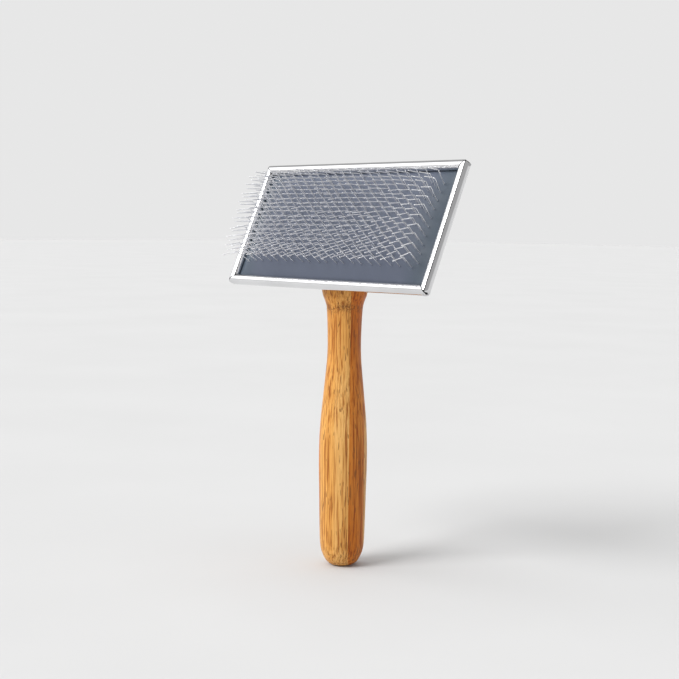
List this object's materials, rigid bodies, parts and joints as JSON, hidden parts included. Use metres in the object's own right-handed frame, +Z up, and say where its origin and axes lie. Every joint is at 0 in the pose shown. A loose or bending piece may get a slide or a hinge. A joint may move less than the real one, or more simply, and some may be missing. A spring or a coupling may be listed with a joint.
{
  "type": "slicker brush",
  "caption": "Pet slicker brush: turned bamboo handle, angled rectangular metal head with rolled rim, and a domed rubber pad set with fine bent wire pins for combing out loose coat.",
  "frame": {"origin": "centre of the small flat on the handle's butt end", "axes": "+Z up the handle's axis, towards the head; +X across the head; -Y is the side the pins face"},
  "size_m": [0.12, 0.0355, 0.1702],
  "materials": {
    "bamboo": "clear satin lacquer over fine straight grain",
    "chromed_sheet": "bright plated sheet metal",
    "foam": "soft cellular foam",
    "cloth": "close plain-weave backing",
    "rubber": "smooth blue-grey, slightly shiny",
    "screw_steel": "zinc plated",
    "pin_wire": "bright drawn wire"
  },
  "bodies": {
    "brush": {"handle": "bamboo", "head_shell": "chromed_sheet", "foam_cushion": "foam", "cloth_backing": "cloth", "rubber_face": "rubber", "screw_1": "screw_steel", "washer_1": "screw_steel", "screw_2": "screw_steel", "washer_2": "screw_steel", "staple_row_01": "pin_wire", "staple_row_02": "pin_wire", "staple_row_03": "pin_wire", "staple_row_04": "pin_wire", "staple_row_05": "pin_wire", "staple_row_06": "pin_wire", "staple_row_07": "pin_wire", "staple_row_08": "pin_wire", "staple_row_09": "pin_wire", "staple_row_10": "pin_wire", "staple_row_11": "pin_wire", "staple_row_12": "pin_wire", "staple_row_13": "pin_wire", "staple_row_14": "pin_wire", "staple_row_15": "pin_wire", "staple_row_16": "pin_wire", "staple_row_17": "pin_wire", "staple_row_18": "pin_wire", "staple_row_19": "pin_wire", "staple_row_20": "pin_wire"}
  },
  "joints": []
}
